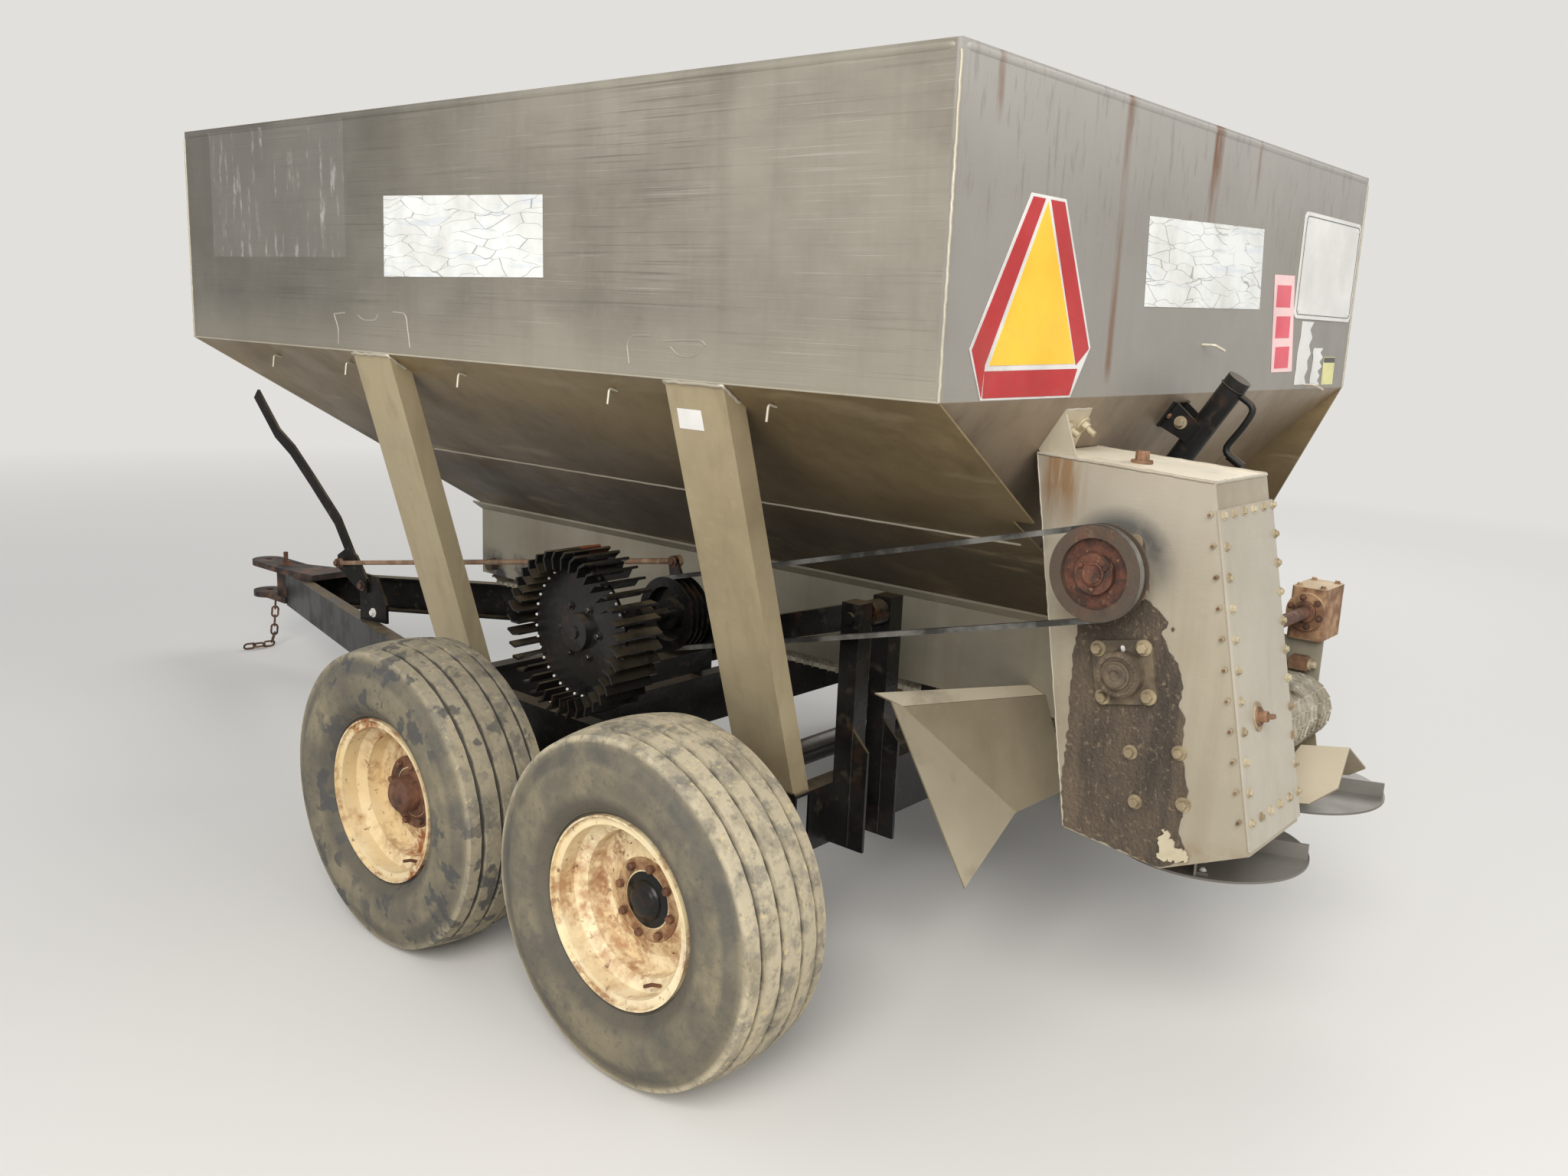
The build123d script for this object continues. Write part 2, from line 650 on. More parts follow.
with BuildPart() as hitch_bolt:
    with BuildSketch(Plane.XY.offset(LOWER_EAR_Z)):
        with Locations((0, HITCH_BOLT_Y)):
            Circle(HITCH_BOLT_R)
    extrude(amount=HITCH_BOLT_TOP_Z - LOWER_EAR_Z)
    with BuildSketch(Plane.XY.offset(APEX_TOP_Z + HITCH_PLATE)):
        with Locations((0, HITCH_BOLT_Y)):
            RegularPolygon(1.7 * HITCH_BOLT_R, 6)
    extrude(amount=1.6 * HITCH_BOLT_R)
save(hitch_bolt, "hitch_bolt")

# Safety chain: links welded to one another, hanging from the lower ear to the ground
link_pitch = LINK_LENGTH - 2 * LINK_WIRE + LINK_PLAY
chain_path = [
    Vector(0, HITCH_BOLT_Y + 110, LOWER_EAR_Z - HITCH_PLATE - LINK_LENGTH / 2 - 0.4),
    Vector(0, HITCH_BOLT_Y + 135, 60),
    Vector(-8, HITCH_BOLT_Y + 150, LINK_WIDTH / 2),
    Vector(-120, HITCH_BOLT_Y + 165, LINK_WIDTH / 2),
]
with BuildLine() as chain_line:
    Polyline(*chain_path)
chain_wire = chain_line.wire()
link_count = int(chain_wire.length // link_pitch)
with BuildPart() as safety_chain:
    for index in range(link_count + 1):
        where = chain_wire.position_at(index * link_pitch / chain_wire.length)
        along = chain_wire.tangent_at(index * link_pitch / chain_wire.length)
        flat = Plane(origin=where, x_dir=along, z_dir=along.cross(Vector(0.3, 0.5, 0.2)))
        with BuildSketch(flat.rotated((90 * (index % 2), 0, 0))):
            SlotOverall(LINK_LENGTH, LINK_WIDTH)
            SlotOverall(LINK_LENGTH - 2 * LINK_WIRE, LINK_WIDTH - 2 * LINK_WIRE, mode=Mode.SUBTRACT)
        extrude(amount=LINK_WIRE / 2, both=True)
    split(bisect_by=Plane.XY, keep=Keep.TOP)
save(safety_chain, "safety_chain")

# Lever of the ground drive: upright plate on the tongue, and a bent flat bar on it
lever_y = APEX_Y + (-LEVER_X - APEX_HALF_WIDTH) * tongue_run.Y / tongue_run.X
lever_z = tongue_top_z(LEVER_X, lever_y)
plate_rear_y, plate_front_y = lever_y + LEVER_PLATE_REAR, lever_y + LEVER_PLATE_FRONT
plate_top_z = lever_z + LEVER_PLATE_HEIGHT
corner_run, corner_drop = LEVER_PLATE_CORNER
plate_outer_x = LEVER_X - LEVER_SHEET / 2
with BuildPart() as lever_plate:
    with BuildSketch(Plane.YZ.offset(LEVER_X)):
        with BuildLine():
            Polyline(
                (plate_rear_y, tongue_top_z(plate_outer_x, plate_rear_y)),
                (plate_front_y, tongue_top_z(plate_outer_x, plate_front_y)),
                (plate_front_y, plate_top_z),
                (plate_rear_y + corner_run, plate_top_z),
                (plate_rear_y, plate_top_z - corner_drop),
                close=True,
            )
        make_face()
    extrude(amount=LEVER_SHEET / 2, both=True)
save(lever_plate, "lever_plate")

with BuildPart() as drive_lever:
    lever_plane = Plane.YZ.offset(plate_outer_x - LEVER_SHEET)
    with BuildSketch(lever_plane):
        with BuildLine():
            Polyline(*((lever_y + y, lever_z + z) for y, z in LEVER_HUB), close=True)
        make_face()
    extrude(amount=LEVER_SHEET)
    with BuildSketch(lever_plane):
        with BuildLine() as lever_line:
            Polyline(*((lever_y + y, lever_z + z) for y, z in LEVER_BENDS))
        trace(line_width=LEVER_BAR)
    extrude(amount=LEVER_SHEET)
save(drive_lever, "drive_lever")

# Rod from the lever back to the swing arm, with a flat eye at each end
arm_inner_x = ARM_OUTER_X + ARM_WIDTH
rod_front = Vector(plate_outer_x - LEVER_SHEET - ROD_R, lever_y + ROD_FRONT[0], lever_z + ROD_FRONT[1])
rod_rear = Vector(arm_inner_x + ROD_R + SEAT_GAP, ARM_END_Y + ROD_REAR[0], ARM_END_Z + ROD_REAR[1])
rod_line = rod_rear - rod_front
with BuildPart() as lever_rod:
    with BuildSketch(Plane(origin=rod_front, z_dir=rod_line)):
        Circle(ROD_R)
    extrude(amount=rod_line.length)
    for end in (rod_front, rod_rear):
        with BuildSketch(Plane.YZ.offset(end.X - ROD_R)):
            with Locations((end.Y, end.Z)):
                Circle(ROD_EYE_R)
        extrude(amount=2 * ROD_R)
save(lever_rod, "lever_rod")

# Uprights behind the rear crossmember that carry the swing arm's pivot
with BuildPart() as arm_uprights:
    for upright_x in (ARM_OUTER_X - UPRIGHT_GAP - UPRIGHT_SIZE, arm_inner_x + UPRIGHT_GAP):
        with BuildSketch(Plane.XY.offset(RAIL_TOP_Z - CHANNEL_HEIGHT)):
            with Locations((upright_x, RAIL_REAR_Y - UPRIGHT_SIZE)):
                Rectangle(UPRIGHT_SIZE, UPRIGHT_SIZE, align=(Align.MIN, Align.MIN))
        extrude(amount=UPRIGHT_TOP_Z - RAIL_TOP_Z + CHANNEL_HEIGHT)
        with BuildSketch(Plane.YZ.offset(upright_x)):
            Polygon(
                (RAIL_REAR_Y - UPRIGHT_SIZE, RAIL_TOP_Z - CHANNEL_HEIGHT),
                (RAIL_REAR_Y - UPRIGHT_SIZE, GUSSET_TOP_Z),
                (RAIL_REAR_Y - UPRIGHT_SIZE - GUSSET_DEPTH, GUSSET_TOP_Z - GUSSET_DEPTH),
                (RAIL_REAR_Y - UPRIGHT_SIZE - GUSSET_DEPTH, RAIL_TOP_Z - CHANNEL_HEIGHT),
                align=None,
            )
        extrude(amount=GUSSET_SHEET)
    pin_half = ARM_WIDTH / 2 + UPRIGHT_GAP + UPRIGHT_SIZE + GUSSET_SHEET
    with BuildSketch(Plane.YZ.offset(ARM_OUTER_X + ARM_WIDTH / 2)):
        with Locations((ARM_PIVOT_Y, ARM_PIVOT_Z)):
            Circle(ARM_PIN_R)
    extrude(amount=pin_half, both=True)
save(arm_uprights, "arm_uprights")

# Swing arm with the cross tube under the pulley and the two shaft bearings
arm_fall = (ARM_PIVOT_Z - ARM_END_Z) / (ARM_END_Y - ARM_PIVOT_Y)
arm_half = ARM_HEIGHT / 2 * hypot(1, arm_fall)
arm_at_drive_z = ARM_PIVOT_Z - arm_fall * (DRIVE_Y - ARM_PIVOT_Y)
with BuildPart() as drive_arm:
    with BuildSketch(Plane.YZ.offset(ARM_OUTER_X)):
        Polygon(
            (ARM_PIVOT_Y, ARM_PIVOT_Z - arm_half),
            (ARM_END_Y, ARM_END_Z - arm_half),
            (ARM_END_Y, ARM_END_Z + arm_half),
            (ARM_PIVOT_Y, ARM_PIVOT_Z + arm_half),
            align=None,
        )
        with Locations((ARM_PIVOT_Y, ARM_PIVOT_Z)):
            Circle(arm_half)
    extrude(amount=ARM_WIDTH)
    with BuildSketch(Plane.YZ.offset(OUTER_BEARING_X)):
        with Locations((DRIVE_Y, (CROSS_TUBE_Z + CROSS_TUBE_TOP_Z) / 2)):
            Rectangle(BEARING_WIDTH + 15, CROSS_TUBE_TOP_Z - CROSS_TUBE_Z)
    extrude(amount=arm_inner_x - OUTER_BEARING_X)
    for bearing_x, bearing_foot in (
        (OUTER_BEARING_X, CROSS_TUBE_TOP_Z),
        (ARM_OUTER_X + (ARM_WIDTH - BEARING_WIDTH) / 2, arm_at_drive_z),
    ):
        with BuildSketch(Plane.YZ.offset(bearing_x)):
            with Locations((DRIVE_Y, (bearing_foot + DRIVE_Z) / 2)):
                Rectangle(2 * BEARING_R, DRIVE_Z - bearing_foot)
            with Locations((DRIVE_Y, DRIVE_Z)):
                Circle(BEARING_R)
        extrude(amount=BEARING_WIDTH)
    with BuildSketch(Plane.YZ.offset(arm_inner_x)):
        Polygon(
            (ARM_END_Y - 90, ARM_END_Z + 40),
            (ARM_END_Y, ARM_END_Z + 20),
            (rod_rear.Y + ROD_EYE_R, rod_rear.Z),
            (rod_rear.Y - ROD_EYE_R, rod_rear.Z),
            align=None,
        )
        with Locations((rod_rear.Y, rod_rear.Z)):
            Circle(ROD_EYE_R)
    extrude(amount=-LEVER_SHEET)
    with BuildSketch(Plane.YZ.offset(OUTER_BEARING_X)):
        with Locations((DRIVE_Y, DRIVE_Z)):
            Circle(DRIVE_SHAFT_R + RUNNING_GAP)
        with Locations((ARM_PIVOT_Y, ARM_PIVOT_Z)):
            Circle(ARM_PIN_R + SEAT_GAP)
    extrude(amount=arm_inner_x - OUTER_BEARING_X, mode=Mode.SUBTRACT)
save(drive_arm, "drive_arm")

# Cleated drive wheel with its shaft
with BuildPart() as drive_wheel:
    with BuildSketch(Plane.YZ.offset(DRIVE_DISC_X)):
        with Locations((DRIVE_Y, DRIVE_Z)):
            Circle(DRIVE_DISC_R)
    extrude(amount=DRIVE_DISC_SHEET)
    with BuildSketch(Plane.YZ.offset(DRIVE_DISC_X - CLEAT_OUTBOARD)):
        with Locations((DRIVE_Y, DRIVE_Z)):
            with PolarLocations(0, CLEAT_COUNT):
                Polygon(
                    (DRIVE_DISC_R - 5, -CLEAT_SHEET / 2),
                    (CLEAT_BEND_R, -CLEAT_SHEET / 2),
                    (CLEAT_TIP_R, CLEAT_TIP_SHIFT - CLEAT_SHEET / 2),
                    (CLEAT_TIP_R - 4, CLEAT_TIP_SHIFT + CLEAT_SHEET / 2),
                    (CLEAT_BEND_R - 2, CLEAT_SHEET / 2),
                    (DRIVE_DISC_R - 5, CLEAT_SHEET / 2),
                    align=None,
                )
    extrude(amount=CLEAT_OUTBOARD + CLEAT_INBOARD)
    with BuildSketch(Plane.YZ.offset(DRIVE_DISC_X - DRIVE_HUB_PROUD)):
        with Locations((DRIVE_Y, DRIVE_Z)):
            Circle(DRIVE_HUB_R)
    extrude(amount=DRIVE_DISC_SHEET + 2 * DRIVE_HUB_PROUD)
    with BuildSketch(Plane.YZ.offset(DRIVE_DISC_X - DRIVE_SHAFT_PROUD)):
        with Locations((DRIVE_Y, DRIVE_Z)):
            Circle(DRIVE_SHAFT_R)
    extrude(amount=arm_inner_x + DRIVE_SHAFT_TAIL - DRIVE_DISC_X + DRIVE_SHAFT_PROUD)
save(drive_wheel, "drive_wheel")

# Pulleys with square grooves in the rim and a thin web recessed from both sides. The
# table gives each one's centre, width and bore, and where a shaft of its own starts and
# ends from the outer face.
belt_x = PULLEY_OUTER_X + BELT_INSET
for name, centre_y, centre_z, width, bore, shaft_from, shaft_to in (
    ("drive_pulley", DRIVE_Y, DRIVE_Z, FRONT_PULLEY_WIDTH, DRIVE_SHAFT_R, 0, 0),
    ("case_pulley", CASE_SHAFT_Y, CASE_SHAFT_Z, REAR_PULLEY_WIDTH, 0, -CASE_SHAFT_PROUD, CASE_SHAFT_REACH),
):
    with BuildPart() as pulley:
        with BuildSketch(Plane.YZ.offset(PULLEY_OUTER_X)):
            with Locations((centre_y, centre_z)):
                Circle(PULLEY_R)
        extrude(amount=width)
        groove_count = int(width // GROOVE_PITCH)
        for groove in range(groove_count):
            with BuildSketch(Plane.YZ.offset(belt_x - GROOVE_WIDTH / 2 + groove * GROOVE_PITCH)):
                with Locations((centre_y, centre_z)):
                    Circle(PULLEY_R)
                    Circle(PULLEY_R - GROOVE_DEPTH, mode=Mode.SUBTRACT)
            extrude(amount=GROOVE_WIDTH, mode=Mode.SUBTRACT)
        for face_x, inward in ((PULLEY_OUTER_X, 1), (PULLEY_OUTER_X + width, -1)):
            with BuildSketch(Plane.YZ.offset(face_x)):
                with Locations((centre_y, centre_z)):
                    Circle(PULLEY_R - GROOVE_DEPTH - PULLEY_RIM)
                    Circle(PULLEY_HUB_R, mode=Mode.SUBTRACT)
            extrude(amount=inward * (width - PULLEY_WEB) / 2, mode=Mode.SUBTRACT)
        if bore:
            with BuildSketch(Plane.YZ.offset(PULLEY_OUTER_X)):
                with Locations((centre_y, centre_z)):
                    Circle(bore)
            extrude(amount=width, mode=Mode.SUBTRACT)
        else:
            with BuildSketch(Plane.YZ.offset(PULLEY_OUTER_X + shaft_from)):
                with Locations((centre_y, centre_z)):
                    Circle(CASE_SHAFT_R)
            extrude(amount=shaft_to - shaft_from)
    save(pulley, name)

# Belt in the outermost grooves of the two pulleys
belt_run = hypot(DRIVE_Y - CASE_SHAFT_Y, DRIVE_Z - CASE_SHAFT_Z)
belt_tilt = degrees(atan2(DRIVE_Z - CASE_SHAFT_Z, DRIVE_Y - CASE_SHAFT_Y))
belt_r = PULLEY_R + BELT_PROUD
belt_middle = ((DRIVE_Y + CASE_SHAFT_Y) / 2, (DRIVE_Z + CASE_SHAFT_Z) / 2, 0)
with BuildPart() as drive_belt:
    with BuildSketch(Plane.YZ.offset(belt_x - BELT_WIDTH / 2)):
        with Locations(Location(belt_middle, (0, 0, belt_tilt))):
            SlotCenterToCenter(belt_run, 2 * belt_r)
            SlotCenterToCenter(belt_run, 2 * (belt_r - BELT_DEPTH), mode=Mode.SUBTRACT)
    extrude(amount=BELT_WIDTH)
save(drive_belt, "drive_belt")

# Chain case: hollow sheet case with a sheet cover bolted on its leaning rear side
case_width = CASE_INNER_X - CASE_OUTER_X
with BuildPart() as chain_case:
    with BuildSketch(Plane.YZ.offset(CASE_OUTER_X)):
        with BuildLine():
            Polyline(*case_outline, close=True)
        make_face()
    extrude(amount=case_width)
    with BuildSketch(Plane.YZ.offset(CASE_OUTER_X + CASE_SHEET)):
        with BuildLine():
            Polyline(*case_outline, close=True)
        make_face()
        offset(amount=-CASE_SHEET, kind=Kind.INTERSECTION)
    extrude(amount=case_width - 2 * CASE_SHEET, mode=Mode.SUBTRACT)
    with BuildSketch(Plane.YZ.offset(CASE_OUTER_X)):
        with Locations((CASE_SHAFT_Y, CASE_SHAFT_Z)):
            Circle(CASE_SHAFT_R + SEAT_GAP)
    extrude(amount=CASE_SHEET, mode=Mode.SUBTRACT)
save(chain_case, "chain_case")

case_lean_y, case_lean_z = (b - a for a, b in zip(CASE_TOP_REAR, CASE_LOW_REAR))
cover_mid_z = (COVER_TOP_Z + COVER_BOTTOM_Z) / 2
cover_mid_y = CASE_TOP_REAR[0] + (cover_mid_z - CASE_TOP_REAR[1]) * case_lean_y / case_lean_z
cover_height = (COVER_TOP_Z - COVER_BOTTOM_Z) * hypot(1, case_lean_y / case_lean_z)
with BuildPart() as case_cover:
    with BuildSketch(
        Plane(
            origin=((CASE_OUTER_X + CASE_INNER_X) / 2, cover_mid_y, cover_mid_z),
            x_dir=(1, 0, 0),
            z_dir=(0, case_lean_z, -case_lean_y),
        )
    ):
        Rectangle(case_width + 2 * COVER_LIP, cover_height)
    extrude(amount=CASE_SHEET)
save(case_cover, "case_cover")

# Flange bearings on the case's left face: upper shaft, and a stub in the middle. They
# stand square to the leaning rear side.
case_lean = degrees(atan2(case_lean_y, case_lean_z))
with BuildPart() as case_bearings:
    for bearing_y, bearing_z, bearing_r, proud in (
        (CASE_SHAFT_Y, CASE_SHAFT_Z, 52, 26),
        (LOWER_BEARING_Y, LOWER_BEARING_Z, 46, 40),
    ):
        with BuildSketch(Plane.YZ.offset(CASE_OUTER_X)):
            with Locations((bearing_y, bearing_z)):
                RectangleRounded(
                    FLANGE_BEARING_SIZE, FLANGE_BEARING_SIZE, FLANGE_BEARING_SIZE / 5, rotation=-case_lean
                )
        extrude(amount=-FLANGE_BEARING_SHEET)
        with BuildSketch(Plane.YZ.offset(CASE_OUTER_X)):
            with Locations((bearing_y, bearing_z)):
                Circle(bearing_r)
        extrude(amount=-proud)
    with BuildSketch(Plane.YZ.offset(CASE_OUTER_X)):
        with Locations((CASE_SHAFT_Y, CASE_SHAFT_Z)):
            Circle(CASE_SHAFT_R + RUNNING_GAP)
    extrude(amount=-FLANGE_BEARING_SIZE, mode=Mode.SUBTRACT)
save(case_bearings, "case_bearings")

# Right spinner gearbox standing on the sill: body with a round flange on the side where
# the cross shaft enters, and a bored column below it
gearbox_left_x = SPINNER_X - GEARBOX_INBOARD
gearbox_width = GEARBOX_INBOARD + GEARBOX_OUTBOARD
with BuildPart() as gearbox:
    with BuildSketch(Plane.XY.offset(SILL_LOW_Z)):
        with Locations((gearbox_left_x + gearbox_width / 2, SPINNER_Y)):
            RectangleRounded(gearbox_width, GEARBOX_DEPTH, 12)
    extrude(amount=GEARBOX_TOP_Z - SILL_LOW_Z)
    with BuildSketch(Plane.YZ.offset(gearbox_left_x)):
        with Locations((SPINNER_Y, CROSS_SHAFT_Z)):
            Circle(GEARBOX_FLANGE_R)
    extrude(amount=-GEARBOX_FLANGE)
    with BuildSketch(Plane.XY.offset(COLUMN_BOTTOM_Z)):
        with Locations((SPINNER_X, SPINNER_Y)):
            Circle(COLUMN_R)
    extrude(amount=SILL_LOW_Z - COLUMN_BOTTOM_Z)
    with BuildSketch(Plane.XY.offset(COLUMN_BOTTOM_Z)):
        with Locations((SPINNER_X, SPINNER_Y)):
            Circle(SPINNER_SHAFT_R)
    extrude(amount=COLUMN_BORE, mode=Mode.SUBTRACT)
save(gearbox, "gearbox")

# Left spinner bearing, carried on the chain case under the conveyor's shaft
with BuildPart() as spinner_bearing:
    with BuildSketch(Plane.XY.offset(COLUMN_BOTTOM_Z)):
        with Locations((-SPINNER_X, SPINNER_Y)):
            Circle(COLUMN_R)
        with Locations((CASE_INNER_X, SPINNER_Y)):
            Rectangle(-SPINNER_X - CASE_INNER_X, 2 * COLUMN_R, align=(Align.MIN, Align.CENTER))
    extrude(amount=COLUMN_BORE)
    with BuildSketch(Plane.XY.offset(COLUMN_BOTTOM_Z)):
        with Locations((-SPINNER_X, SPINNER_Y)):
            Circle(SPINNER_SHAFT_R)
    extrude(amount=COLUMN_BORE, mode=Mode.SUBTRACT)
save(spinner_bearing, "spinner_bearing")

# Spinner discs with four vanes each, folded plates on a foot
for side, sx in SIDES:
    with BuildPart() as spinner:
        with BuildSketch(Plane.XY.offset(SPINNER_Z)):
            with Locations((sx * SPINNER_X, SPINNER_Y)):
                Circle(SPINNER_R)
        extrude(amount=SPINNER_SHEET)
        with BuildSketch(Plane.XY.offset(SPINNER_Z + SPINNER_SHEET)):
            with Locations((sx * SPINNER_X, SPINNER_Y)):
                with PolarLocations(0, VANE_COUNT, start_angle=VANE_START):
                    with Locations(((SPINNER_R + SPINNER_HUB_R) / 2, VANE_OFFSET)):
                        Rectangle(SPINNER_R - SPINNER_HUB_R - 10, SPINNER_SHEET)
        extrude(amount=VANE_HEIGHT)
        with BuildSketch(Plane.XY.offset(SPINNER_Z + SPINNER_SHEET)):
            with Locations((sx * SPINNER_X, SPINNER_Y)):
                with PolarLocations(0, VANE_COUNT, start_angle=VANE_START):
                    with Locations(((SPINNER_R + SPINNER_HUB_R) / 2, VANE_OFFSET)):
                        Rectangle(
                            SPINNER_R - SPINNER_HUB_R - 30, VANE_FOOT, align=(Align.CENTER, Align.MIN)
                        )
        extrude(amount=SPINNER_SHEET)
        with BuildSketch(Plane.XY.offset(SPINNER_Z - SPINNER_HUB_DROP)):
            with Locations((sx * SPINNER_X, SPINNER_Y)):
                Circle(SPINNER_HUB_R)
        extrude(amount=VANE_HEIGHT + SPINNER_HUB_DROP)
        with BuildSketch(Plane.XY.offset(SPINNER_Z)):
            with Locations((sx * SPINNER_X, SPINNER_Y)):
                Circle(SPINNER_SHAFT_R - RUNNING_GAP)
        extrude(amount=COLUMN_BOTTOM_Z + COLUMN_BORE - 4 - SPINNER_Z)
    save(spinner, f"spinner_{side}")

# Cross shaft from the chain case to the gearbox
with BuildPart() as cross_shaft:
    with BuildSketch(Plane.YZ.offset(CASE_INNER_X)):
        with Locations((SPINNER_Y, CROSS_SHAFT_Z)):
            Circle(SPINNER_SHAFT_R)
    extrude(amount=gearbox_left_x - GEARBOX_FLANGE - CASE_INNER_X)
save(cross_shaft, "cross_shaft")


def facet(*corners, thickness):
    """Flat sheet through corners given in space, added half on each side."""
    a, b, c = (Vector(*corner) for corner in corners[:3])
    flat = Plane(origin=a, x_dir=b - a, z_dir=(b - a).cross(c - a))
    places = [flat.to_local_coords(Vector(*corner)) for corner in corners]
    with BuildSketch(flat) as outline:
        with BuildLine():
            Polyline(*((place.X, place.Y) for place in places), close=True)
        make_face()
    extrude(outline.sketch, amount=thickness / 2, both=True)


# Deflector sheets in front of the spinners: main panel, outer facet and top flange
deflector_corners = {
    "outer_top": (580, 367, 750),
    "inner_top": (SILL_X + 1, 190, 750),
    "inner_foot": (SILL_X + 1, 100, 540),
    "mid_foot": (389, 160, 500),
    "tip": (606, 400, 750),
    "outer_foot": (660, 120, 410),
    "flange_outer": (598, 436, 765),
    "flange_inner": (SILL_X + 1, 232, 765),
}
deflector_facets = (
    ("outer_top", "inner_top", "inner_foot", "mid_foot"),
    ("outer_top", "mid_foot", "outer_foot", "tip"),
    ("outer_top", "inner_top", "flange_inner", "flange_outer"),
)
for side, sx in SIDES:
    with BuildPart() as deflector:
        for names in deflector_facets:
            places = [deflector_corners[name] for name in names]
            facet(*((sx * x, HOPPER_REAR_Y + y, z) for x, y, z in places), thickness=DEFLECTOR_SHEET)
    save(deflector, f"deflector_{side}")



def divider_place(sx, out, behind):
    """Place on a divider plate: out from the ridge, and behind the ridge's rear end."""
    z = DIVIDER_Z - DIVIDER_SIDE_FALL * out + DIVIDER_FALL * behind
    return (sx * out, DIVIDER_REAR_Y - behind, z)


# Flow divider: two sloped plates meet in a ridge just behind the conveyor's end, on a
# flat bar that hangs from the two sills
divider_front = DIVIDER_REAR_Y - DIVIDER_BAR_Y
with BuildPart() as flow_divider:
    for sx in (-1, 1):
        facet(
            divider_place(sx, 0, divider_front + DIVIDER_NOSE_CUT),
            divider_place(sx, 0, 0),
            divider_place(sx, *DIVIDER_TAIL),
            divider_place(sx, DIVIDER_HALF_WIDTH, -DIVIDER_TAIL_CUT),
            divider_place(sx, DIVIDER_HALF_WIDTH, divider_front - DEFLECTOR_SHEET),
            thickness=DEFLECTOR_SHEET,
        )
        hanger_x = sx * (SILL_X - SILL_SHEET - DEFLECTOR_SHEET / 2)
        facet(
            (hanger_x, SILL_REAR_Y, SILL_BOTTOM_Z + DIVIDER_HANGER_LAP),
            (hanger_x, SILL_REAR_Y + DIVIDER_HANGER, SILL_BOTTOM_Z + DIVIDER_HANGER_LAP),
            (hanger_x, SILL_REAR_Y + 20, DIVIDER_BAR_Z),
            (hanger_x, DIVIDER_BAR_Y, DIVIDER_BAR_Z),
            (hanger_x, DIVIDER_BAR_Y, DIVIDER_BAR_Z + DIVIDER_BAR_HEIGHT),
            thickness=DEFLECTOR_SHEET,
        )
    with BuildSketch(Plane.XZ.offset(-DIVIDER_BAR_Y)):
        with Locations((0, DIVIDER_BAR_Z + DIVIDER_BAR_HEIGHT / 2)):
            Rectangle(2 * (SILL_X - SILL_SHEET), DIVIDER_BAR_HEIGHT)
    extrude(amount=-DEFLECTOR_SHEET)
save(flow_divider, "flow_divider")

# Places beside the rear slope, whose underside starts a little under the bend
slope_fall = (BEND_Z - SLOPE_FOOT_Z) / REAR_SLOPE_RUN
slope_lead_z = BEND_Z - SHEET * hypot(1, slope_fall) + slope_fall * SHEET
rear_slope_length = hypot(REAR_SLOPE_RUN, BEND_Z - SLOPE_FOOT_Z)
rear_slope_axis = Vector(0, REAR_SLOPE_RUN, SLOPE_FOOT_Z - BEND_Z)


def on_rear_slope(along, out):
    """Place beside the rear slope: down along it from the bend, and out from its outer face."""
    run, drop = REAR_SLOPE_RUN / rear_slope_length, (BEND_Z - SLOPE_FOOT_Z) / rear_slope_length
    return (HOPPER_REAR_Y + along * run - out * drop, slope_lead_z - along * drop - out * run)


def slope_bar(from_x, to_x, *places):
    """Bar across the machine whose outline is given in places beside the rear slope."""
    with BuildSketch(Plane.YZ.offset(from_x)) as outline:
        with BuildLine():
            Polyline(*(on_rear_slope(*place) for place in places), close=True)
        make_face()
    extrude(outline.sketch, amount=abs(to_x - from_x), dir=(1 if to_x > from_x else -1, 0, 0))


def slope_rod(radius, start, end, out, mode=Mode.ADD):
    """Round rod along the rear slope at the jack's place."""
    start_plane = Plane(origin=(JACK_X, *on_rear_slope(start, out)), z_dir=rear_slope_axis)
    with BuildSketch(start_plane) as outline:
        Circle(radius)
    extrude(outline.sketch, amount=end - start, dir=rear_slope_axis, mode=mode)


def case_top_z(y):
    """Height of the chain case's top face."""
    (front_y, front_z), (rear_y, rear_z) = CASE_TOP_FRONT, CASE_TOP_REAR
    return rear_z + (y - rear_y) * (front_z - rear_z) / (front_y - rear_y)


# Folded bracket between the case's top and the rear slope: a tapered plate on the slope
# and a leg along the case's left edge
bracket_left = CASE_OUTER_X + COVER_LIP
leg_foot_y = HOPPER_REAR_Y - BRACKET_LEG
leg_front_y = on_rear_slope(BRACKET_FOOT, BRACKET_SHEET)[0]
with BuildPart() as case_brackets:
    facet(
        (bracket_left, *on_rear_slope(BRACKET_FOOT, BRACKET_SHEET / 2)),
        (bracket_left + BRACKET_WIDTH, *on_rear_slope(BRACKET_FOOT, BRACKET_SHEET / 2)),
        (bracket_left + BRACKET_WIDTH - BRACKET_TAPER, *on_rear_slope(BRACKET_TOP, BRACKET_SHEET / 2)),
        (bracket_left, *on_rear_slope(BRACKET_TOP, BRACKET_SHEET / 2)),
        thickness=BRACKET_SHEET,
    )
    with BuildSketch(Plane.YZ.offset(bracket_left)):
        Polygon(
            (leg_foot_y, case_top_z(leg_foot_y)),
            (leg_front_y, case_top_z(leg_front_y)),
            on_rear_slope(BRACKET_FOOT, 0),
            on_rear_slope(BRACKET_TOP, 0),
            align=None,
        )
    extrude(amount=BRACKET_SHEET)
save(case_brackets, "case_brackets")

